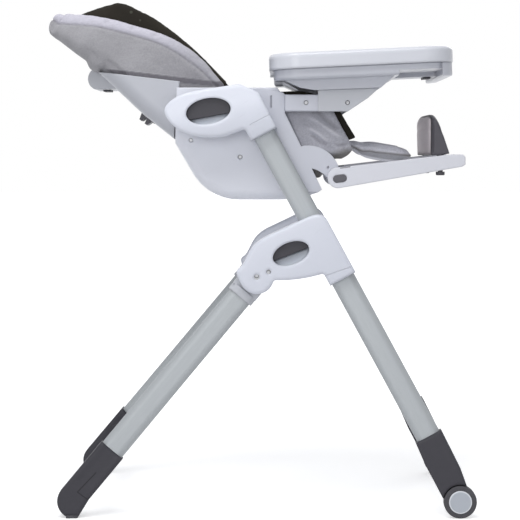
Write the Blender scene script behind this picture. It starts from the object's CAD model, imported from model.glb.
"""Looks of the baby high chair: moulded white plastic, silver tubes, grey padded cloth and a dark liner."""

from math import cos, pi, radians, sin

import bpy
import numpy as np
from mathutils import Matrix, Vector, noise
from mathutils.bvhtree import BVHTree


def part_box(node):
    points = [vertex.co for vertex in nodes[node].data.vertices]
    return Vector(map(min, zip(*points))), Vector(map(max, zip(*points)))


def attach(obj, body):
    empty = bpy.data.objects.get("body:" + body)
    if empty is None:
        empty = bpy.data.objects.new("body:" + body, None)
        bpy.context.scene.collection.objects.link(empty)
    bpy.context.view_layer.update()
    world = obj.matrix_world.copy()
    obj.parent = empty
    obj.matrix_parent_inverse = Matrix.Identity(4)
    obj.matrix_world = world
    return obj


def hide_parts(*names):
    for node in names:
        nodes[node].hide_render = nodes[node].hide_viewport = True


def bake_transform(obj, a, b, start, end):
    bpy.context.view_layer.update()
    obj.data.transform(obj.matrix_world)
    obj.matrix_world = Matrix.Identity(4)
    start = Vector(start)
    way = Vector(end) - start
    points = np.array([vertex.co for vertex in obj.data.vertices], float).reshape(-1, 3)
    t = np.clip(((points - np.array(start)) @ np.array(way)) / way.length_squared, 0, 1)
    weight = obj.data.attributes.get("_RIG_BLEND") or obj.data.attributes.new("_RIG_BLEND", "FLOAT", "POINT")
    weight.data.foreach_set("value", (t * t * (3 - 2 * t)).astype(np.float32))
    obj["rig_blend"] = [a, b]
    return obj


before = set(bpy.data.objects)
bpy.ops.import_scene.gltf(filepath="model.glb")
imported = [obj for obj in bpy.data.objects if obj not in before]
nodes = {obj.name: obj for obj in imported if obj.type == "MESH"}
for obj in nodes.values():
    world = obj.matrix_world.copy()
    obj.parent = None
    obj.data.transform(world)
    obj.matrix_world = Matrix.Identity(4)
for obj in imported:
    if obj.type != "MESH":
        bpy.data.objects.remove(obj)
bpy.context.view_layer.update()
scene = bpy.context.scene
scene.view_settings.view_transform = "Standard"


# Shader sums
class Tone:
    """A socket of one finish, for use in plain sums and products."""

    def __init__(self, tree, socket):
        self.tree = tree
        self.socket = socket

    def node(self, kind, settings, inputs, out=0):
        """A node of this kind, with its settings made first and then its sockets filled or linked."""
        made = self.tree.nodes.new("ShaderNode" + kind)
        for key, value in settings.items():
            setattr(made, key, value)
        for key, value in inputs.items():
            if isinstance(value, Tone):
                self.tree.links.new(value.socket, made.inputs[key])
            else:
                made.inputs[key].default_value = value
        return Tone(self.tree, made.outputs[out])

    def sum(self, operation, first, second=0.0):
        return self.node("Math", {"operation": operation}, {0: first, 1: second})

    def __add__(self, other):
        return self.sum("ADD", self, other)

    def __sub__(self, other):
        return self.sum("SUBTRACT", self, other)

    def __rsub__(self, other):
        return self.sum("SUBTRACT", other, self)

    def __mul__(self, other):
        return self.sum("MULTIPLY", self, other)

    def __abs__(self):
        return self.sum("ABSOLUTE", self)

    __radd__ = __add__
    __rmul__ = __mul__


def shade(red, green, blue):
    """A colour as it is seen, from 0 to 255, as the shader's own numbers."""
    parts = [c / 255 for c in (red, green, blue)]
    return (*[c / 12.92 if c < 0.04045 else ((c + 0.055) / 1.055) ** 2.4 for c in parts], 1)


def shades(red, green, blue, spread):
    """A darker and a paler neighbour of one colour."""
    colour = red, green, blue
    return shade(*[c - spread for c in colour]), shade(*[c + spread for c in colour])


def mottle(place, scale, detail=2.0):
    return place.node("TexNoise", {}, {"Vector": place, "Scale": scale, "Detail": detail})


def cells(place, scale, out="Distance"):
    return place.node("TexVoronoi", {}, {"Vector": place, "Scale": scale}, out)


def turned(place, tilt, sizes):
    """Coordinates turned about the chair's width, then stretched."""
    flat = place.node("Mapping", {}, {"Vector": place, "Rotation": (0, radians(tilt), 0)})
    return place.node("Mapping", {}, {"Vector": flat, "Scale": sizes})


def along(place, axis):
    return place.node("SeparateXYZ", {}, {0: place}, axis)


def between(value, low, high):
    """0 below low, 1 above high, and a smooth step from one to the other."""
    return value.node("MapRange", {"interpolation_type": "SMOOTHSTEP"}, {0: value, 1: low, 2: high})


def mixed(mask, first, second):
    return mask.node("Mix", {"data_type": "RGBA"}, {0: mask, 6: first, 7: second}, 2)


def either(first, second):
    """The greater of two masks."""
    return first.sum("MAXIMUM", first, second)


def marked(place, name):
    """What a piece's own points say, such as how far a point is into a seam."""
    return place.node("Attribute", {"attribute_name": name}, {}, "Fac")


def waves(place, axis, pitch):
    """A wave from 0 to 1 along one axis of the coordinates, with a pitch in metres."""
    turn = along(place, axis) * (2 * pi / pitch)
    return turn.sum("SINE", turn) * 0.5 + 0.5


def scored(place, lines, half):
    """1 on lines cut into the side of a moulding, given by their ends in x and z."""
    x, z = along(place, "X"), along(place, "Z")
    cut = None
    for (x0, z0), (x1, z1) in lines:
        run_x, run_z = x1 - x0, z1 - z0
        square = run_x**2 + run_z**2 or 1
        from_x, from_z = x - x0, z - z0
        part = from_x * (run_x / square) + from_z * (run_z / square)
        part = part.sum("MINIMUM", either(part, 0), 1)
        off_x, off_z = from_x - part * run_x, from_z - part * run_z
        off = off_x * off_x + off_z * off_z
        line = 1 - between(off, (0.5 * half) ** 2, half**2)
        cut = line if cut is None else either(cut, line)
    return cut


def out_from(place, at):
    """Distance from a line across the chair that is given by its x and z."""
    off_x, off_z = along(place, "X") - at[0], along(place, "Z") - at[1]
    return off_x.sum("SQRT", off_x * off_x + off_z * off_z)


def ringed(place, at, radius, half):
    """1 on a ring turned into the side of a moulding, about a centre in x and z."""
    return 1 - between(abs(out_from(place, at) - radius), 0.4 * half, half)


def inside_oval(place, at, tilt, half_long, half_short):
    """1 inside an oval on the side of a moulding, and how far up the oval a point is, from -1 to 1."""
    off_x, off_z = along(place, "X") - at[0], along(place, "Z") - at[1]
    run, rise = cos(radians(tilt)), sin(radians(tilt))
    long_way = (off_x * run + off_z * rise) * (1 / half_long)
    short_way = (off_z * run - off_x * rise) * (1 / half_short)
    return 1 - between(long_way * long_way + short_way * short_way, 0.92, 1.02), short_way


def finish(name, paint, soft=0.0, **fixed):
    """A material, with its edges rounded in the normals by soft metres.

    paint gives what changes over the surface, and fixed what is the same all over.
    """
    material = bpy.data.materials.new(name)
    material.use_nodes = True
    tree = material.node_tree
    skin = tree.nodes["Principled BSDF"]
    place = Tone(tree, tree.nodes.new("ShaderNodeTexCoord").outputs["Object"])
    for socket, value in fixed.items():
        skin.inputs[socket.replace("_", " ")].default_value = value
    for socket, tone in paint(place).items():
        if socket == "Relief":
            inputs = {"Height": tone, "Distance": 1.0}
            if soft:
                inputs["Normal"] = place.node("Bevel", {"samples": 8}, {"Radius": soft})
            tone = place.node("Bump", {}, inputs)
            socket = "Normal"
        tree.links.new(tone.socket, skin.inputs[socket])
    return material


# Finishes of the moulded parts
def moulded(colour, spread, scuff, gloss, grain, depth, cut=None):
    """Moulded plastic: a faint cloud in the colour, fine grain, a few rubbed streaks and any cut lines."""
    streak_tilt, streak_sizes, groove_depth = 31, (9, 30, 70), 0.0006

    def paint(place):
        fine = mottle(place, grain, 3)
        rubbed = between(mottle(turned(place, streak_tilt, streak_sizes), 3, 4), 0.6, 0.78)
        clouded = mixed(mottle(place, 7), *shades(*colour, spread))
        tint = mixed(rubbed * 0.35, clouded, shade(*scuff))
        relief = fine * depth
        if cut:
            lines, shadow = cut
            groove = lines(place)
            tint = mixed(groove * 0.8, tint, shade(*shadow))
            relief = relief - groove * groove_depth
        return {"Base Color": tint, "Roughness": gloss + fine * 0.1 + rubbed * 0.12, "Relief": relief}

    return paint


white_gloss = finish(
    "white_gloss_plastic",
    moulded((203, 205, 212), 4, (196, 197, 203), 0.24, 900, 0.00003),
    soft=0.009,
    Coat_Weight=0.15,
    Coat_Roughness=0.2,
)
tray_body_white = finish(
    "tray_body_plastic",
    moulded((190, 192, 200), 4, (183, 184, 191), 0.3, 800, 0.00003),
    soft=0.003,
)


def grip_moulded(colour, at, tilt, half_long, half_short, outside, crown, collar):
    """Crowned housing plastic, greyer in the scoop of its grip, with a line where its tube collar starts."""
    scuff, shadow = [c - 9 for c in colour], [c - 26 for c in colour]
    scoop_from, scoop_full = 0.0015, 0.004

    def collar_line(place):
        return scored(place, [collar], 0.0012)

    plain = moulded(colour, 3, scuff, 0.26, 900, 0.00003, cut=(collar_line, shadow))

    def paint(place):
        sockets = plain(place)
        inside, up = inside_oval(place, at, tilt, half_long, half_short)
        deep = inside * (1 - between(abs(along(place, "Y")), outside - scoop_full, outside - scoop_from))
        scoop = mixed(between(up, -1.0, 0.2), shade(188, 194, 204), shade(142, 146, 155))
        sockets["Base Color"] = mixed(deep, sockets["Base Color"], scoop)
        sockets["Relief"] = sockets["Relief"] - up * up * crown
        return sockets

    return paint


housing_white = finish(
    "rounded_housing_plastic",
    grip_moulded(
        (214, 217, 227), at=(-0.0995, 0.8144), tilt=10.1, half_long=0.047, half_short=0.030,
        outside=0.246, crown=0.0026, collar=((-0.0162, 0.7871), (0.0252, 0.8091)),
    ),
    soft=0.010,
    Coat_Weight=0.12,
    Coat_Roughness=0.25,
)
hub_white = finish(
    "rounded_hub_plastic",
    grip_moulded(
        (208, 211, 221), at=(0.0659, 0.5299), tilt=21.0, half_long=0.047, half_short=0.030,
        outside=0.248, crown=0.0006, collar=((0.1335, 0.4845), (0.1881, 0.5039)),
    ),
    soft=0.010,
    Coat_Weight=0.12,
    Coat_Roughness=0.25,
)
shell_white = finish(
    "shell_satin_plastic",
    moulded((219, 221, 229), 4, (211, 212, 218), 0.36, 700, 0.00004),
    soft=0.004,
)
back_white = finish(
    "back_shell_plastic",
    moulded((178, 180, 187), 4, (171, 172, 178), 0.36, 700, 0.00004),
    soft=0.004,
)


def column_lines(place):
    """The latch line on the column, and the pin hole in the leg-rest lug."""
    latch = scored(place, [((0.0268, 0.8235), (0.0268, 0.8470))], 0.0009)
    return either(latch, ringed(place, (0.1420, 0.7030), 0.0, 0.0022))


def slot_line(place):
    """The dark slot beside the leg-rest button."""
    return scored(place, [((0.1660, 0.7005), (0.1850, 0.7030))], 0.0013)


def foot_lines(place):
    """The parting line that turns a corner on the side of the rear foot."""
    upper, corner, lower = (-0.3247, 0.0910), (-0.3617, 0.0525), (-0.3406, 0.0370)
    return scored(place, [(upper, corner), (corner, lower)], 0.0011)


arm_white = finish(
    "arm_satin_plastic",
    moulded((192, 194, 203), 4, (185, 186, 193), 0.34, 800, 0.00003, cut=(column_lines, (120, 120, 128))),
    soft=0.003,
)
legrest_white = finish(
    "legrest_satin_plastic",
    moulded((208, 209, 216), 4, (200, 200, 206), 0.3, 800, 0.00003, cut=(slot_line, (86, 85, 90))),
    soft=0.004,
)
pale_grey = finish(
    "pale_collar_plastic",
    moulded((182, 184, 190), 5, (180, 180, 186), 0.38, 800, 0.00004),
    soft=0.003,
)
charcoal = finish(
    "charcoal_grained_plastic",
    moulded((66, 65, 70), 5, (86, 85, 90), 0.5, 1500, 0.00009),
    soft=0.002,
    Specular_IOR_Level=0.3,
)
foot_charcoal = finish(
    "foot_grained_plastic",
    moulded((58, 57, 63), 4, (74, 73, 78), 0.5, 1500, 0.00009, cut=(foot_lines, (30, 29, 32))),
    soft=0.010,
    Specular_IOR_Level=0.3,
)
button_grey = finish(
    "button_grey_plastic",
    moulded((88, 87, 92), 4, (104, 103, 108), 0.45, 1300, 0.00007),
    soft=0.002,
    Specular_IOR_Level=0.35,
)
wheel_axle = (0.4054, 0.0330)


def disc_paint(place):
    """Pale disc with a bright turned edge, in a dark rim."""
    sockets = moulded((176, 181, 189), 4, (160, 164, 171), 0.4, 900, 0.00005)(place)
    edge = ringed(place, wheel_axle, 0.0222, 0.0022)
    rim = between(out_from(place, wheel_axle), 0.0236, 0.0241)
    tint = mixed(edge, sockets["Base Color"], shade(222, 225, 230))
    sockets["Base Color"] = mixed(rim, tint, shade(72, 71, 75))
    return sockets


disc_grey = finish("wheel_disc_plastic", disc_paint, soft=0.001)


def footplate_paint(place):
    """Dark moulded block with a paler ribbed tread on the face towards the child."""
    fine = mottle(place, 1400, 3)
    x = along(place, "X")
    tread = 1 - between(x, 0.3492, 0.3502)
    rib = waves(place, "Y", 0.006)
    dark = mixed(mottle(place, 9), *shades(76, 74, 80, 4))
    light = mixed(mottle(place, 9), *shades(214, 204, 207, 5))
    joint = between(x, 0.3486, 0.3492) * (1 - between(x, 0.3512, 0.3518))
    return {
        "Base Color": mixed(joint * 0.7, mixed(tread, dark, light), shade(40, 39, 42)),
        "Roughness": 0.5 + fine * 0.14,
        "Relief": fine * 0.0001 + rib * tread * 0.0003,
    }


footplate_grey = finish("footplate_two_grey_plastic", footplate_paint, soft=0.002, Specular_IOR_Level=0.35)


# Finishes of the metal and the rubber
def satin_tube(tilt):
    """Silver lacquer over drawn tube: faint draw lines along the tube and a fine flake."""

    def paint(place):
        drawn = mottle(turned(place, tilt, (420, 420, 3)), 1, 3)
        flake = cells(place, 2600)
        silver = mixed(drawn * 0.6 + flake * 0.4, shade(156, 160, 163), shade(174, 178, 181))
        return {"Base Color": silver, "Roughness": 0.42 + drawn * 0.12, "Relief": drawn * 0.00002}

    return paint


front_tube = finish("front_tube_silver", satin_tube(28.6), Metallic=0.3)
rear_tube = finish("rear_tube_silver", satin_tube(-39.9), Metallic=0.3)
cross_tube = finish("cross_tube_silver", satin_tube(0), Metallic=0.3)
back_hinge = (-0.1380, 0.7570)
bracket_screw = (0.1800, 0.8325)
screw_spots = (
    back_hinge, (-0.0375, 0.7228), (0.0966, 0.8325),
    bracket_screw, (-0.0030, 0.4849), (0.0208, 0.4919),
)
recess_radius, recess_half = 0.0040, 0.0013


def bright_steel_paint(place):
    """Turned steel, with the shadow of the recess round each screw head that is seen from the side."""
    turned_face = mottle(place, 1700, 3)
    rim = ringed(place, screw_spots[0], recess_radius, recess_half)
    for at in screw_spots[1:]:
        rim = either(rim, ringed(place, at, recess_radius, recess_half))
    steel = mixed(turned_face, shade(150, 151, 154), shade(184, 185, 188))
    return {
        "Base Color": mixed(rim * 0.85, steel, shade(70, 71, 75)),
        "Roughness": 0.28 + turned_face * 0.15,
        "Relief": turned_face * 0.00002,
    }


screw_steel = finish("screw_steel", bright_steel_paint, Metallic=0.6)


def tyre_paint(place):
    """Dull rubber with a little dust."""
    fine = mottle(place, 1800, 3)
    dust = between(mottle(place, 60, 4), 0.45, 0.75)
    return {
        "Base Color": mixed(dust * 0.5, shade(76, 75, 79), shade(94, 93, 97)),
        "Roughness": 0.62 + fine * 0.2,
        "Relief": fine * 0.00012,
    }


tyre_rubber = finish("tyre_rubber", tyre_paint, Specular_IOR_Level=0.3)


# Finishes of the cloth
def melange(colour, edge, hem, spread=7):
    """Woven cloth of mixed yarns, with a paler sewn edge, a darker hem and stitched seams."""
    lie, yarn_sizes, pitch = 20, (210, 210, 620), 0.0016

    def paint(place):
        yarn = mottle(turned(place, lie, yarn_sizes), 1, 3)
        cross = mottle(turned(place, lie - 90, yarn_sizes), 1, 3)
        weave = turned(place, lie, (1, 1, 1))
        thread = waves(weave, "X", pitch) * waves(weave, "Z", pitch) + waves(place, "Y", pitch) * 0.4
        worn = mottle(place, 14, 3)
        blend = yarn * 0.4 + cross * 0.3 + worn * 0.3
        cloth = mixed(between(blend, 0.36, 0.64), *shades(*colour, spread))
        trim = mixed(between(yarn, 0.35, 0.65), *shades(*edge, 4))
        bound = mixed(between(cross, 0.35, 0.65), *shades(*hem, 4))
        sewn = mixed(marked(place, "edge_band"), cloth, trim)
        sewn = mixed(marked(place, "hem_band"), sewn, bound)
        sewn = mixed(marked(place, "seam") * 0.6, sewn, shade(112, 110, 116))
        return {
            "Base Color": sewn,
            "Roughness": 0.82 + yarn * 0.15,
            "Relief": thread * 0.00016 + yarn * 0.00014,
        }

    return paint


nap = {"Sheen_Weight": 0.12, "Sheen_Roughness": 0.5}
cover_cloth = finish("grey_cover_cloth", melange((155, 154, 158), (194, 192, 203), (104, 102, 108)), **nap)
seat_cloth = finish("grey_seat_cloth", melange((166, 166, 174), (196, 196, 204), (112, 110, 108), 12), **nap)
calf_cloth = finish("grey_calf_cloth", melange((214, 214, 222), (168, 168, 175), (118, 115, 114), 12), **nap)


def liner_paint(place):
    """Dark padded liner with a scatter of small grey-green flecks."""
    pitch, flecks = 0.0014, 55
    fine = mottle(place, 900, 3)
    weft = waves(place, "X", pitch) * waves(place, "Z", pitch) + waves(place, "Y", pitch) * 0.4
    cloud = fine * 0.5 + between(mottle(place, 9), 0.3, 0.7) * 0.5
    ground = mixed(cloud, shade(28, 25, 20), shade(46, 42, 35))
    spot = 1 - between(cells(place, flecks), 0.16, 0.22)
    kept = between(along(cells(place, flecks, "Color"), "X"), 0.58, 0.62)
    fleck = mixed(mottle(place, 40), shade(58, 59, 51), shade(78, 79, 69))
    marked_ground = mixed(spot * kept * 0.85, ground, fleck)
    return {
        "Base Color": mixed(marked(place, "seam") * 0.7, marked_ground, shade(20, 19, 17)),
        "Roughness": 0.82 + fine * 0.15,
        "Relief": weft * 0.0001 + fine * 0.0001,
    }


liner_cloth = finish(
    "dark_liner_cloth",
    liner_paint,
    Specular_IOR_Level=0.25,
    Sheen_Weight=0.04,
    Sheen_Roughness=0.5,
)


def with_strap(place):
    """Coordinates that run with a strap, kept on its points: along it, then across it."""
    return place.node("CombineXYZ", {}, {0: marked(place, "strap_run"), 1: marked(place, "strap_across")})


def webbing_paint(place):
    """Flat woven webbing: ribs across the strap, a paler selvedge and a fine pick."""
    strap = with_strap(place)
    rib, pick = waves(strap, "X", 0.0022), waves(strap, "Y", 0.0014)
    selvedge = between(marked(place, "selvedge"), 0.75, 0.9)
    woven = mixed(rib * 0.6 + pick * 0.4, shade(58, 57, 60), shade(88, 87, 91))
    return {
        "Base Color": mixed(selvedge * 0.5, woven, shade(104, 103, 107)),
        "Roughness": 0.7 + pick * 0.15,
        "Relief": rib * 0.0002 + pick * 0.0001,
    }


strap_webbing = finish("strap_webbing", webbing_paint)

# Each finish with the nodes that it is on, without their right and left
finish_of = {
    white_gloss: "tray_insert",
    tray_body_white: "tray_body",
    housing_white: "height_housing",
    hub_white: "fold_hub",
    shell_white: "seat_shell tube_plugs",
    back_white: "backrest_shell",
    arm_white: "side_frame armrest legrest_bar",
    legrest_white: "legrest_arm",
    pale_grey: "rear_knuckle recline_handle tray_brackets",
    charcoal: "fold_button height_button tray_lever recline_lever footplate_knobs buckle",
    foot_charcoal: "front_foot rear_foot",
    button_grey: "legrest_button strap_anchor",
    disc_grey: "wheel_cover",
    footplate_grey: "footplate",
    front_tube: "upper_tube front_leg",
    rear_tube: "rear_leg",
    cross_tube: "front_cross_bar rear_cross_bar",
    screw_steel: "hub_bolts seat_screws seat_hinge_pins wheel_axles",
    tyre_rubber: "wheel rear_soles",
}
for material, names in finish_of.items():
    for name in names.split():
        for node in (name, name + "_right", name + "_left"):
            if node in nodes:
                for slot in nodes[node].material_slots:
                    slot.material = material


# Camera at the photograph's place
camera = bpy.data.objects.new("side_camera", bpy.data.cameras.new("side_camera"))
scene.collection.objects.link(camera)
camera.location = (0.04384, -4.05, 0.73299)
camera.rotation_euler = (radians(90 - 3.2533), 0, radians(0.6031))
camera.data.lens = 131.54
camera.data.sensor_width = 36
camera.data.clip_end = 100
scene.camera = camera


# Soft studio light, and a white floor that keeps the shadow
def lamp(name, at, towards, size, power):
    """A round softbox of this size in metres and power in watts."""
    data = bpy.data.lights.new(name, "AREA")
    data.shape = "DISK"
    data.size = size
    data.energy = power
    light = bpy.data.objects.new(name, data)
    light.location = at
    light.rotation_euler = (Vector(towards) - Vector(at)).to_track_quat("-Z", "Y").to_euler()
    scene.collection.objects.link(light)


lamp("top_softbox", (-0.5, -1.5, 3.3), (0, 0, 0.6), 2.2, 60)
lamp("front_softbox", (-0.9, -4.4, 1.3), (0, 0, 0.55), 2.0, 32)
lamp("back_softbox", (1.2, 2.6, 2.2), (0, 0, 0.7), 2.0, 16)


def seen_directly(tree):
    """1 for what the camera sees, or sees in a gloss or through glass."""
    path = tree.nodes.new("ShaderNodeLightPath")
    rays = [Tone(tree, path.outputs[f"Is {ray} Ray"]) for ray in ("Camera", "Glossy", "Transmission")]
    return either(either(rays[0], rays[1]), rays[2])


world = bpy.data.worlds.new("studio")
world.use_nodes = True
scene.world = world
sky = world.node_tree.nodes["Background"]
white_out = seen_directly(world.node_tree)
sky_colour = mixed(white_out, (0.45, 0.46, 0.485, 1), (1, 1, 1, 1))
world.node_tree.links.new(sky_colour.socket, sky.inputs["Color"])

floor_white = bpy.data.materials.new("floor_white")
floor_white.use_nodes = True
tree = floor_white.node_tree
matt = tree.nodes["Principled BSDF"]
matt.inputs["Base Color"].default_value = (0.8, 0.8, 0.8, 1)
matt.inputs["Roughness"].default_value = 1
matt.inputs["Specular IOR Level"].default_value = 0
spot = Tone(tree, tree.nodes.new("ShaderNodeTexCoord").outputs["Object"])
away = between(spot.node("VectorMath", {"operation": "LENGTH"}, {0: spot}, "Value"), 0.7, 2.2)
glow = mixed(away, (0.50, 0.50, 0.50, 1), (1, 1, 1, 1))
tree.links.new(mixed(seen_directly(tree), (0, 0, 0, 1), glow).socket, matt.inputs["Emission Color"])
matt.inputs["Emission Strength"].default_value = 1
floor_mesh = bpy.data.meshes.new("floor")
floor_half = 30
corners = [(x * floor_half, y * floor_half, 0) for x, y in ((-1, -1), (1, -1), (1, 1), (-1, 1))]
floor_mesh.from_pydata(corners, [], [(0, 1, 2, 3)])
floor_mesh.materials.append(floor_white)
floor = bpy.data.objects.new("floor", floor_mesh)
scene.collection.objects.link(floor)


# Making of the padded pieces
def points_of(mesh):
    flat = np.empty(3 * len(mesh.vertices), np.float32)
    mesh.vertices.foreach_get("co", flat)
    return flat.reshape(-1, 3).astype(float)


def normals_of(mesh):
    flat = np.empty(3 * len(mesh.vertices), np.float32)
    mesh.vertex_normals.foreach_get("vector", flat)
    return flat.reshape(-1, 3).astype(float)


def set_points(mesh, points):
    mesh.vertices.foreach_set("co", points.astype(np.float32).ravel())
    mesh.update()


def settled(piece):
    """Make what the piece's modifiers give its own mesh."""
    graph = bpy.context.evaluated_depsgraph_get()
    mesh = bpy.data.meshes.new_from_object(piece.evaluated_get(graph))
    piece.modifiers.clear()
    piece.data = mesh
    return mesh


def skinned(piece, voxel):
    """One even skin over the solids that a piece starts from."""
    piece.data.attributes.active_color = None
    skin = piece.modifiers.new("skin", "REMESH")
    skin.mode = "VOXEL"
    skin.voxel_size = voxel
    return settled(piece)


def refined(piece):
    """Each face of a piece split once and rounded off."""
    fine = piece.modifiers.new("fine", "SUBSURF")
    fine.levels = 1
    settled(piece)
    piece.data.shade_smooth()


def link_piece(name, mesh, material):
    """A new piece in the scene, with its finish and the slot that the table lists it under."""
    piece = bpy.data.objects.new(name, mesh)
    scene.collection.objects.link(piece)
    mesh.materials.clear()
    mesh.materials.append(material)
    mesh.shade_smooth()
    return piece


def swell(piece, shrink, cap):
    """Let air into a closed cloth form that is shrunk first, and keep each point's way within the cap."""
    steps = 20
    mesh = piece.data
    set_points(mesh, points_of(mesh) - shrink * normals_of(mesh))
    small = points_of(mesh)
    cloth = piece.modifiers.new("stuffing", "CLOTH")
    cloth.settings.quality = 4
    cloth.settings.mass = 0.3
    cloth.settings.tension_stiffness = 12
    cloth.settings.compression_stiffness = 12
    cloth.settings.use_pressure = True
    cloth.settings.uniform_pressure_force = 4
    cloth.settings.effector_weights.gravity = 0
    cloth.collision_settings.use_collision = False
    cloth.point_cache.frame_start = 1
    cloth.point_cache.frame_end = steps
    for step in range(1, steps + 1):
        scene.frame_set(step)
    swollen = points_of(settled(piece))
    scene.frame_set(1)
    move = swollen - small
    length = np.linalg.norm(move, axis=1, keepdims=True)
    move *= np.minimum(1, cap / np.maximum(length, 1e-9))
    set_points(piece.data, small + move)


def padded_piece(name, node, material, voxel, shrink, cap):
    """A stuffed piece from the solid of a node: closed cloth, filled and made fine enough to sew."""
    piece = link_piece(name, nodes[node].data.copy(), material)
    skinned(piece, voxel)
    swell(piece, shrink, cap)
    refined(piece)
    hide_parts(node)
    return piece


def mark(mesh, name, values):
    """Keep a value on each point, for the finish to read."""
    spot = mesh.attributes.get(name) or mesh.attributes.new(name, "FLOAT", "POINT")
    spot.data.foreach_set("value", values.astype(np.float32))


def smooth_step(value, low, high):
    """0 below low, 1 above high, and a smooth step from one to the other."""
    t = np.clip((value - low) / (high - low), 0, 1)
    return t * t * (3 - 2 * t)


def fade(value, low, high):
    """1 below low, 0 above high, and a smooth step from one to the other."""
    return 1 - smooth_step(value, low, high)


def span(value, start, full, last, end):
    """1 from full to last, and a smooth step on each side, from start and to end."""
    return smooth_step(value, start, full) * fade(value, last, end)


def eased(at, spots, heights):
    """A smooth curve through the given heights, where a straight-line one would have corners."""
    spots, heights = np.array(spots), np.array(heights)
    slopes = np.gradient(heights, spots)
    at = np.clip(at, spots[0], spots[-1])
    i = np.clip(np.searchsorted(spots, at) - 1, 0, len(spots) - 2)
    gap = spots[i + 1] - spots[i]
    t = (at - spots[i]) / gap
    rise = heights[i] * (1 + 2 * t) * (1 - t) ** 2 + heights[i + 1] * t * t * (3 - 2 * t)
    return rise + gap * t * (1 - t) * (slopes[i] * (1 - t) - slopes[i + 1] * t)


def rounded_crest(points, spots, heights, depth):
    """Points of a padded wing with its straight-sided crest drawn as one smooth curve."""
    reach, rise = up_back(points)
    straight = np.interp(reach, spots, heights)
    near_crest = smooth_step(rise, straight - depth, straight - 0.2 * depth)
    lift = (eased(reach, spots, heights) - straight) * near_crest
    return points + lift[:, None] * np.array([sin(back_tilt), 0, cos(back_tilt)])


def ridge(value, width):
    """1 at 0, falling away smoothly on both sides."""
    return np.exp(-((value / width) ** 2))


def from_line(across, up, start, end):
    """How far points are to the left of a line in a plane, and how far along it, from 0 to 1."""
    run = np.array(end) - np.array(start)
    length = np.linalg.norm(run)
    run = run / length
    along_it = (across - start[0]) * run[0] + (up - start[1]) * run[1]
    return (up - start[1]) * run[0] - (across - start[0]) * run[1], along_it / length


def crumple(points, scale, seed):
    """A smooth wrinkle height from -1 to 1 for each point."""
    stretched = points * np.array(scale) + np.array([seed, 0, 0])
    return np.array([noise.noise(Vector(p)) for p in stretched])


# Backrest in its own frame: up the plate, then out of it towards the child
back_tilt = radians(38.3)


def up_back(points):
    """How far points are up the plate from its hinge, and how far out of it."""
    x, z = points[:, 0] - back_hinge[0], points[:, 2] - back_hinge[1]
    return z * sin(back_tilt) - x * cos(back_tilt), x * sin(back_tilt) + z * cos(back_tilt)


def on_back(reach, across, rise):
    """The place of a point that is given in the backrest's own frame."""
    x = back_hinge[0] - reach * cos(back_tilt) + rise * sin(back_tilt)
    z = back_hinge[1] + reach * sin(back_tilt) + rise * cos(back_tilt)
    return Vector((x, across, z))


wing_reach = (0.012, 0.080, 0.160, 0.240, 0.300, 0.345, 0.368)
wing_top = (0.1308, 0.1468, 0.1428, 0.1148, 0.0878, 0.0608, 0.0468)
wing_half = (0.1574, 0.1574, 0.1574, 0.1570, 0.1520, 0.1340, 0.1120)
liner_top = (0.1354, 0.1464, 0.1504, 0.1434, 0.1204, 0.0584)
crest_depth = 0.06


def sew_backrest_cover(piece):
    """A rolled pale edge round the wings and the head, tufted, a soft heel, and a dark hem over the shell."""
    mesh = piece.data
    set_points(mesh, rounded_crest(points_of(mesh), wing_reach, wing_top, crest_depth))
    points, out = points_of(mesh), normals_of(mesh)
    reach, rise = up_back(points)
    side = np.abs(points[:, 1])
    half = np.interp(reach, wing_reach, wing_half)
    depth = eased(reach, wing_reach, wing_top) - rise
    width = np.interp(reach, (0.012, 0.10, 0.24, 0.35), (0.015, 0.025, 0.027, 0.030))
    outer = np.maximum(smooth_step(side, half - 0.016, half - 0.009), smooth_step(reach, 0.346, 0.352))
    round_over = np.maximum(0, np.sin(pi * np.clip(depth / width, 0, 1)))
    roll = outer * smooth_step(depth, -0.004, 0.004) * round_over
    seam = outer * ridge(depth - width, 0.0020)
    move = 0.0026 * roll - 0.0022 * seam
    puckers = 0.5 + 0.5 * np.sin(2 * pi * reach / 0.011)
    move -= outer * ridge(depth - width, 0.006) * puckers * 0.0007
    for tuft in (0.190, 0.235, 0.285):
        dimple = outer * np.exp(-((reach - tuft) ** 2 + (depth - 0.45 * width) ** 2) / 0.0042**2)
        move -= 0.0026 * dimple
        seam = np.maximum(seam, 0.6 * dimple)
    left_of_hem, _ = from_line(reach, rise, (0.237, -0.009), (0.011, 0.130))
    hem_band = outer * fade(reach, 0.250, 0.262) * span(-left_of_hem, -0.003, -0.001, 0.0075, 0.0095)
    move += 0.0010 * hem_band
    move += outer * (1 - hem_band) * 0.0011 * crumple(points, (22, 22, 34), 3.0)
    move += outer * (1 - hem_band) * 0.0005 * crumple(points, (70, 40, 90), 8.0)
    low = fade(rise, 0.004, 0.030) * smooth_step(side, 0.06, 0.12)
    heel = 0.009 * low * span(reach, 0.232, 0.246, 0.254, 0.276)
    down = np.array([-sin(back_tilt), 0, -cos(back_tilt)])
    set_points(mesh, points + out * move[:, None] + heel[:, None] * down)
    band = np.maximum(outer * fade(depth, width - 0.003, width + 0.002), fade(depth, 0.006, 0.009))
    mark(mesh, "edge_band", band * (0.22 + 0.78 * smooth_step(reach, 0.05, 0.22)))
    lower_wing = 0.42 * outer * smooth_step(depth, width, width + 0.012) * fade(reach, 0.05, 0.17)
    mark(mesh, "hem_band", np.maximum(hem_band, lower_wing))
    mark(mesh, "seam", np.clip(0.55 * seam, 0, 1))


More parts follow.
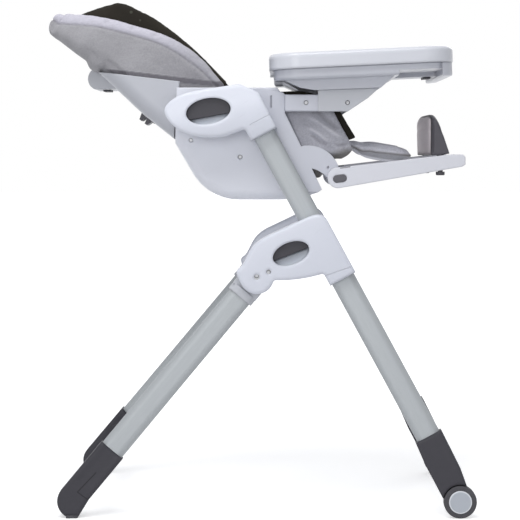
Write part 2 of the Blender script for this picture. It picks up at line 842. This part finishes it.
def sew_seat_cover(piece):
    """Long soft creases that fan out from the column to the front, and a bound lower edge."""
    mesh = piece.data
    points, out = points_of(mesh), normals_of(mesh)
    x, side, z = points[:, 0], np.abs(points[:, 1]), points[:, 2]
    hidden_front = fade(side, 0.126, 0.138) * smooth_step(x, 0.130, 0.158) * fade(z, 0.752, 0.760)
    points[:, 0] -= 0.007 * hidden_front
    outer = smooth_step(side, 0.120, 0.142)
    move = np.zeros(len(points))
    for start, end, height, width in (
        ((0.088, 0.806), (0.182, 0.760), 0.0040, 0.006),
        ((0.086, 0.786), (0.168, 0.742), 0.0036, 0.005),
        ((0.100, 0.822), (0.176, 0.778), -0.0030, 0.006),
        ((0.094, 0.768), (0.160, 0.736), -0.0030, 0.005),
        ((0.130, 0.752), (0.190, 0.748), -0.0028, 0.004),
        ((0.110, 0.742), (0.186, 0.732), 0.0030, 0.006),
    ):
        off, part = from_line(x, z, start, end)
        sway = 0.004 * np.sin(5 * part + 40 * start[0])
        move += height * ridge(off + sway, width) * span(part, 0.0, 0.25, 0.75, 1.05)
    move += 0.0012 * crumple(points, (26, 12, 40), 5.0)
    set_points(mesh, points + out * (outer * move)[:, None])
    mark(mesh, "edge_band", outer * smooth_step(move, 0.0012, 0.0040) * 0.6)
    lower_edge = np.interp(x, (0.09, 0.175), (0.692, 0.722))
    mark(mesh, "hem_band", outer * fade(z - lower_edge, 0.008, 0.026))
    mark(mesh, "seam", outer * smooth_step(-move, 0.0008, 0.0030) * 0.7)


# Calf pad in its own frame: out along the pad from its hinge, then up from it
calf_tilt = radians(9.6)
calf_hinge = (0.183, 0.749)


def sew_calf_pad(piece):
    """A corded seam round the pad below its crown, and a shallow sewn panel on top."""
    mesh = piece.data
    points, out = points_of(mesh), normals_of(mesh)
    x, z = points[:, 0] - calf_hinge[0], points[:, 2] - calf_hinge[1]
    reach, rise = x * cos(calf_tilt) - z * sin(calf_tilt), x * sin(calf_tilt) + z * cos(calf_tilt)
    full_tip = 0.20 * rise * smooth_step(reach, 0.075, 0.120)
    side = np.abs(points[:, 1])
    line = np.interp(reach, (0.0, 0.06, 0.136), (-0.002, -0.0065, -0.001))
    rim = np.maximum(smooth_step(side, 0.092, 0.106), smooth_step(reach, 0.116, 0.128))
    cord = rim * ridge(rise - line, 0.0022)
    panel_length = span(reach, 0.026, 0.032, 0.104, 0.110)
    panel = fade(side, 0.076, 0.082) * panel_length
    upper = smooth_step(rise, 0.003, 0.006)
    thread = 0.0018
    side_stitch = ridge(side - 0.079, thread) * panel_length
    end_stitch = np.maximum(ridge(reach - 0.029, thread), ridge(reach - 0.107, thread))
    stitched = upper * np.maximum(side_stitch, fade(side, 0.078, 0.082) * end_stitch)
    move = 0.0012 * cord - 0.0016 * stitched + 0.0010 * upper * panel
    move += 0.0008 * crumple(points, (30, 16, 44), 9.0)
    sag = (0.0030 + 0.0015 * fade(rise, -0.008, 0.004)) * ridge(reach - 0.032, 0.013)
    inner = fade(side, 0.092, 0.110) * fade(rise, -0.010, -0.002) * fade(reach, 0.030, 0.052)
    lift = full_tip - sag + 0.0060 * inner
    up = np.array([sin(calf_tilt), 0, cos(calf_tilt)])
    set_points(mesh, points + out * move[:, None] + lift[:, None] * up)
    mark(mesh, "edge_band", rim * fade(rise - line, -0.004, 0.001))
    mark(mesh, "hem_band", cord * 0.9)
    mark(mesh, "seam", np.clip(stitched, 0, 1))


def sew_liner(piece, seam):
    """A stitched line set in from the rim of a liner, and the slack of a loose-laid pad."""
    mesh = piece.data
    points, out = points_of(mesh), normals_of(mesh)
    sewn = seam(points)
    move = 0.0009 * crumple(points, (24, 24, 24), 12.0) - 0.0016 * sewn
    set_points(mesh, points + out * move[:, None])
    mark(mesh, "seam", np.clip(sewn, 0, 1))


def back_liner_seam(points):
    reach, _ = up_back(points)
    return ridge(np.abs(points[:, 1]) - 0.096, 0.0022) * span(reach, 0.03, 0.05, 0.29, 0.31)


def seat_liner_seam(points):
    return ridge(np.abs(points[:, 1]) - 0.104, 0.0022) * span(points[:, 0], -0.10, -0.08, 0.13, 0.15)


def hump_seat_liner(piece):
    """The liner's sides stand up in a low hump above the armrests."""
    points = points_of(piece.data)
    points[:, 2] += 0.0085 * ridge(points[:, 0] - 0.082, 0.030) * smooth_step(points[:, 2], 0.835, 0.858)
    set_points(piece.data, points)


backrest_cover = padded_piece(
    "backrest_padded_cover", "backrest_cover", cover_cloth,
    voxel=0.0045, shrink=0.0015, cap=0.0035,
)
sew_backrest_cover(backrest_cover)
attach(backrest_cover, "backrest")

backrest_liner = padded_piece(
    "backrest_padded_liner", "backrest_liner", liner_cloth,
    voxel=0.005, shrink=0.0015, cap=0.0035,
)
flat_crest = points_of(backrest_liner.data)
liner_reach = wing_reach[: len(liner_top)]
set_points(backrest_liner.data, rounded_crest(flat_crest, liner_reach, liner_top, crest_depth))
sew_liner(backrest_liner, back_liner_seam)
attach(backrest_liner, "backrest")

seat_cover = padded_piece(
    "seat_front_cover", "seat_cover", seat_cloth,
    voxel=0.0045, shrink=0.0012, cap=0.0032,
)
sew_seat_cover(seat_cover)
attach(seat_cover, "seat")

seat_liner = padded_piece(
    "seat_padded_liner", "seat_liner", liner_cloth,
    voxel=0.005, shrink=0.0015, cap=0.0035,
)
hump_seat_liner(seat_liner)
sew_liner(seat_liner, seat_liner_seam)
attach(seat_liner, "seat")

calf_pad = padded_piece(
    "calf_padded_rest", "calf_pad", calf_cloth,
    voxel=0.004, shrink=0.0012, cap=0.0028,
)
sew_calf_pad(calf_pad)
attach(calf_pad, "calf")


# Harness webbing, laid on the liners
def laid_straps(name, node, runs, bed, drop, width):
    """Flat webbing along straight runs, dropped on to a padded piece and eased over its bumps."""
    pitch, height, clear, eased_over = 0.003, 0.05, 0.0007, 4
    mesh = bed.data
    skin = BVHTree.FromPolygons([v.co[:] for v in mesh.vertices], [p.vertices[:] for p in mesh.polygons])
    drop = Vector(drop).normalized()
    spots, faces, facts = [], [], []
    for start, end in runs:
        run = end - start
        across = run.cross(drop).normalized()
        steps = int(run.length / pitch)
        offsets = np.linspace(-0.5, 0.5, 11)
        depth = np.zeros((steps + 1, len(offsets)))
        for i in range(steps + 1):
            for j, offset in enumerate(offsets):
                above = start + run * (i / steps) + across * (offset * width) - drop * height
                hit = skin.ray_cast(above, drop, 0.12)
                depth[i, j] = hit[3] if hit[0] is not None else height
        stretch = 2 * eased_over + 1
        depth = np.pad(depth.min(axis=1), eased_over, mode="edge")
        depth = np.convolve(depth, np.ones(stretch) / stretch, mode="valid")
        first = len(spots)
        for i in range(steps + 1):
            for offset in offsets:
                sag = 0.0006 * (2 * offset) ** 2
                down = drop * (depth[i] - height - clear + sag)
                spots.append(start + run * (i / steps) + across * (offset * width) + down)
                facts.append((run.length * i / steps, offset * width, abs(2 * offset)))
        row = len(offsets)
        for i in range(steps):
            for j in range(row - 1):
                a = first + i * row + j
                faces.append((a, a + 1, a + row + 1, a + row))
    sheet = bpy.data.meshes.new(name)
    sheet.from_pydata(spots, [], faces)
    for column, word in enumerate(("strap_run", "strap_across", "selvedge")):
        mark(sheet, word, np.array([fact[column] for fact in facts]))
    piece = link_piece(name, sheet, strap_webbing)
    body = piece.modifiers.new("weave", "SOLIDIFY")
    body.thickness = 0.0016
    body.offset = 1 if Vector(sheet.polygons[0].normal).dot(drop) < 0 else -1
    settled(piece)
    piece.data.shade_smooth()
    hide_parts(node)
    return piece


strap_width = 0.025
shoulder_side, lap_outer, lap_inner = 0.055, 0.117, 0.033
shoulder_straps = laid_straps(
    "shoulder_webbing", "shoulder_straps",
    [(on_back(0.040, y, 0.026), on_back(0.150, y, 0.030)) for y in (-shoulder_side, shoulder_side)],
    backrest_liner, (-sin(back_tilt), 0, -cos(back_tilt)), strap_width,
)
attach(shoulder_straps, "backrest")

# Seat pad in its own frame: forward along the pad, then up from it
pad_run = Vector((0.277, 0, 0.056)).normalized()
pad_up = Vector((-pad_run.z, 0, pad_run.x))
pad_mid = Vector((0.0265, 0, 0.722))


def on_seat(forward, across):
    """A place just above the seat pad."""
    return pad_mid + pad_run * forward + Vector((0, across, 0)) + pad_up * 0.004


lap_runs = [(on_seat(-0.055, y * lap_outer), on_seat(-0.055, y * lap_inner)) for y in (-1, 1)]
crotch_run = (on_seat(0.068, 0), on_seat(0.128, 0))
lap_straps = laid_straps(
    "lap_webbing", "lap_straps", [*lap_runs, crotch_run], seat_liner, -pad_up, strap_width
)
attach(lap_straps, "seat")


# Footplate block with a domed top
def domed_footplate():
    """The footplate's block, domed and arched on top, with its corners towards the child rounded."""
    piece = link_piece("footplate_block", nodes["footplate"].data.copy(), footplate_grey)
    points = points_of(skinned(piece, 0.002))
    x, side, z = points[:, 0], np.abs(points[:, 1]), points[:, 2]
    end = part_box("footplate")[1][1]
    foot, spring, top = 0.725, 0.782, 0.812
    arch, arch_drop = 0.140, 0.016
    left = np.interp(z, (foot, 0.799, top), (0.349, 0.347, 0.353))
    right = np.interp(z, (0.729, 0.803, top), (0.3865, 0.3615, 0.353))
    part = np.clip((x - (left + right) / 2) / np.maximum((right - left) / 2, 0.001), -1, 1)
    dome = np.sqrt(np.clip(1 - (np.clip(z - spring, 0, 0.030) / 0.0302) ** 2, 0, 1))
    middle = np.interp(z, (foot, spring, top), (0.368, 0.3590, 0.3545))
    half = np.interp(z, (foot, spring), (0.0188, 0.0105)) * dome
    moved = x + smooth_step(z, 0.770, 0.784) * (middle + half * part - x)
    corner = smooth_step(side, end - 0.030, end)
    moved += 0.006 * corner**2 * fade(x, 0.348, 0.356) * smooth_step(z, 0.726, 0.732)
    drop = arch_drop * (1 - np.sqrt(1 - np.clip((side - end + arch) / arch, 0, 1) ** 2))
    lowered = z - drop * smooth_step(z, 0.760, top)
    set_points(piece.data, np.stack([moved, points[:, 1], lowered], axis=1))
    ease = piece.modifiers.new("ease", "SMOOTH")
    ease.factor = 0.5
    ease.iterations = 3
    settled(piece)
    piece.data.shade_smooth()
    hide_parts("footplate")
    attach(piece, "footplate")


domed_footplate()


# Small fasteners and the cloth neck at the calf pad's hinge
def bracket_screws():
    """Round screw heads with a six-sided socket, one on the outside of each tray bracket."""
    spots, faces = [], []
    bracket_face, socket_radius, round_it = 0.2024, 0.003, 24
    profile = (
        (0.0, 0.0006), (0.0021, 0.0006), (0.0025, 0.0016),
        (0.0040, 0.0015), (0.0047, 0.0009), (0.0048, 0.0),
    )
    for side in (-1, 1):
        first = len(spots)
        for radius, height in profile:
            for i in range(round_it):
                angle = 2 * pi * i / round_it
                near = radius * (1 - 0.10 * abs(sin(3 * angle))) if radius < socket_radius else radius
                x, z = bracket_screw[0] + near * cos(angle), bracket_screw[1] + near * sin(angle)
                spots.append((x, side * (bracket_face + height), z))
        for ring in range(len(profile) - 1):
            for i in range(round_it):
                a, b = first + ring * round_it + i, first + ring * round_it + (i + 1) % round_it
                face = (a, b, b + round_it, a + round_it)
                faces.append(face if side > 0 else face[::-1])
    mesh = bpy.data.meshes.new("bracket_screws")
    mesh.from_pydata(spots, [], faces)
    piece = link_piece("bracket_screws", mesh, screw_steel)
    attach(piece, "tray")


bracket_screws()


def calf_neck():
    """A soft sleeve of the seat cloth that closes the fold between the seat cover and the calf pad."""
    spots, faces = [], []
    round_it = 24
    stations = np.linspace(-1, 1, 33)
    middle, half_long, half_wide = 0.190, 0.019, 0.112
    thick_above, thick_below = 0.0085, 0.0105
    for s in stations:
        full = (1 - abs(s) ** 6) ** 0.5 if abs(s) < 1 else 0.0
        for i in range(round_it):
            angle = 2 * pi * i / round_it
            x = middle + half_long * cos(angle)
            pinch = 1 - 0.22 * (1 - cos(angle) ** 2)
            thick = (thick_above if sin(angle) > 0 else thick_below) * pinch * (0.45 + 0.55 * full)
            wave = 0.0008 * sin(23 * s + 3 * cos(angle))
            spine = 0.7480 - 0.02 * (x - 0.175)
            spots.append((x, half_wide * s, spine + (thick + wave) * sin(angle)))
    for k in range(len(stations) - 1):
        for i in range(round_it):
            a, b = k * round_it + i, k * round_it + (i + 1) % round_it
            faces.append((a, a + round_it, b + round_it, b))
    faces.append(tuple(range(round_it)))
    last = (len(stations) - 1) * round_it
    faces.append(tuple(last + i for i in reversed(range(round_it))))
    mesh = bpy.data.meshes.new("calf_neck_cloth")
    mesh.from_pydata(spots, [], faces)
    piece = link_piece("calf_neck_cloth", mesh, seat_cloth)
    refined(piece)
    for word in ("edge_band", "hem_band", "seam"):
        mark(piece.data, word, np.zeros(len(piece.data.vertices)))
    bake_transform(piece, "seat", "calf", start=(0.176, 0, 0.749), end=(0.200, 0, 0.747))


calf_neck()
